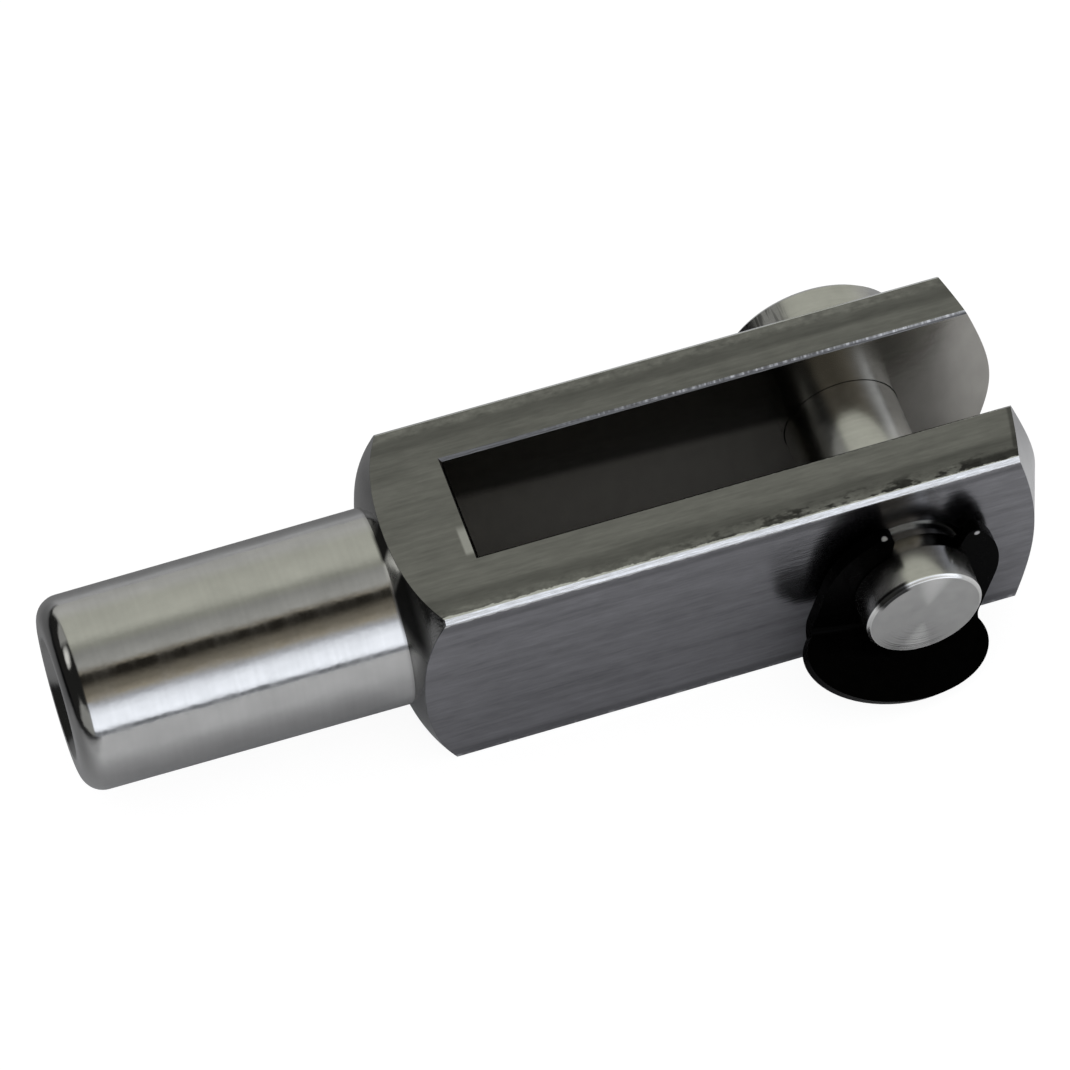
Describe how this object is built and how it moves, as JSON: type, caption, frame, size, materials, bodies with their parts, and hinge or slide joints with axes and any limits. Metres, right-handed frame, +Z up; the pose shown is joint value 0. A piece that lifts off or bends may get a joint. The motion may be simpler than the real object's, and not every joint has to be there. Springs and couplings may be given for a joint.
{
  "type": "clevis rod end",
  "caption": "Steel clevis rod end: fork milled from square bar with a tapped round shank, and a headed pin across its ears held by a black spring clip with a thumb lip.",
  "frame": {"origin": "where the pin's axis crosses the axis of the bar and shank", "axes": "+X along the shank towards the ears, +Y along the pin towards its head, +Z up, square to both"},
  "size_m": [0.0665, 0.0254, 0.016],
  "materials": {
    "fork_steel": "drawn flats with fine lengthwise lines, turned shank polished",
    "pin_steel": "turned and bright",
    "clip_black": "glossy black"
  },
  "bodies": {
    "fork": {"fork": "fork_steel"},
    "pin": {"pin": "pin_steel"},
    "clip": {"clip": "clip_black"}
  },
  "joints": [
    {"name": "pin_spin", "type": "hinge", "parent": "fork", "child": "pin", "pos_m": [0, 0, 0], "axis": [0, 1, 0], "continuous": true},
    {"name": "clip_spin", "type": "hinge", "parent": "pin", "child": "clip", "pos_m": [0, 0, 0], "axis": [0, 1, 0], "continuous": true}
  ]
}
